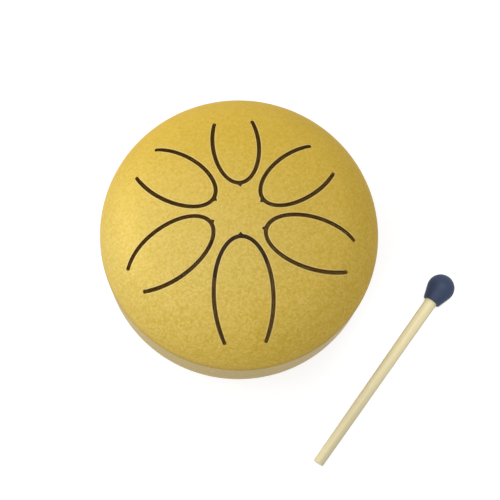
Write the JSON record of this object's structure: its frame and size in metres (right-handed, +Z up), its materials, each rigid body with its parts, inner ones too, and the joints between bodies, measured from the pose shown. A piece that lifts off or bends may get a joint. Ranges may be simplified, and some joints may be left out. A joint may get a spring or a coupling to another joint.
{
  "type": "steel tongue drum with mallet",
  "caption": "Small round steel tongue drum with petal-shaped tongues cut in its crowned top, a sound hole and rubber feet below, and a ball-headed mallet lying beside it.",
  "frame": {"origin": "middle of the set's footprint (drum and mallet together) on the floor plane", "axes": "+Z up along the drum's axis; -Y towards the player, where the longest tongue points; +X to the side where the mallet lies"},
  "size_m": [0.103, 0.1002, 0.048],
  "materials": {
    "gold_flake_paint": "satin metal-flake",
    "foot_rubber": "matte",
    "stick_wood": "sanded, unvarnished",
    "head_rubber": "satin"
  },
  "bodies": {
    "drum_body": {"upper_shell": "gold_flake_paint", "lower_shell": "gold_flake_paint", "foot_1": "foot_rubber", "foot_2": "foot_rubber", "foot_3": "foot_rubber"},
    "tongue_1": {"tongue_1": "gold_flake_paint"},
    "tongue_2": {"tongue_2": "gold_flake_paint"},
    "tongue_3": {"tongue_3": "gold_flake_paint"},
    "tongue_4": {"tongue_4": "gold_flake_paint"},
    "tongue_5": {"tongue_5": "gold_flake_paint"},
    "tongue_6": {"tongue_6": "gold_flake_paint"},
    "mallet": {"mallet_stick": "stick_wood", "mallet_head": "head_rubber"}
  },
  "joints": [
    {"name": "tongue_1_flex", "type": "hinge", "parent": "drum_body", "child": "tongue_1", "pos_m": [-0.01129, -0.02239, 0.03899], "axis": [-0.9988, -0.0489, 0], "range_deg": [-1, 1], "stiffness_Nm_per_rad": 20.7},
    {"name": "tongue_2_flex", "type": "hinge", "parent": "drum_body", "child": "tongue_2", "pos_m": [-0.04033, -0.00572, 0.0399], "axis": [-0.575, 0.8181, 0], "range_deg": [-0.9, 0.9], "stiffness_Nm_per_rad": 16.5},
    {"name": "tongue_3_flex", "type": "hinge", "parent": "drum_body", "child": "tongue_3", "pos_m": [0.0168, 0.0008, 0.04107], "axis": [-0.2402, -0.9707, 0], "range_deg": [-0.9, 0.9], "stiffness_Nm_per_rad": 19.5},
    {"name": "tongue_4_flex", "type": "hinge", "parent": "drum_body", "child": "tongue_4", "pos_m": [-0.038, 0.02639, 0.04187], "axis": [0.5373, 0.8434, 0], "range_deg": [-0.8, 0.8], "stiffness_Nm_per_rad": 22.5},
    {"name": "tongue_5_flex", "type": "hinge", "parent": "drum_body", "child": "tongue_5", "pos_m": [0.00953, 0.02742, 0.04296], "axis": [0.6252, -0.7804, 0], "range_deg": [-0.8, 0.8], "stiffness_Nm_per_rad": 24.6},
    {"name": "tongue_6_flex", "type": "hinge", "parent": "drum_body", "child": "tongue_6", "pos_m": [-0.01443, 0.03791, 0.04314], "axis": [0.996, 0.0889, 0], "range_deg": [-0.7, 0.7], "stiffness_Nm_per_rad": 27.8},
    {"name": "mallet_lift", "type": "slide", "parent": "drum_body", "child": "mallet", "axis": [0, 0, 1], "range_m": [0, 0.12]}
  ]
}
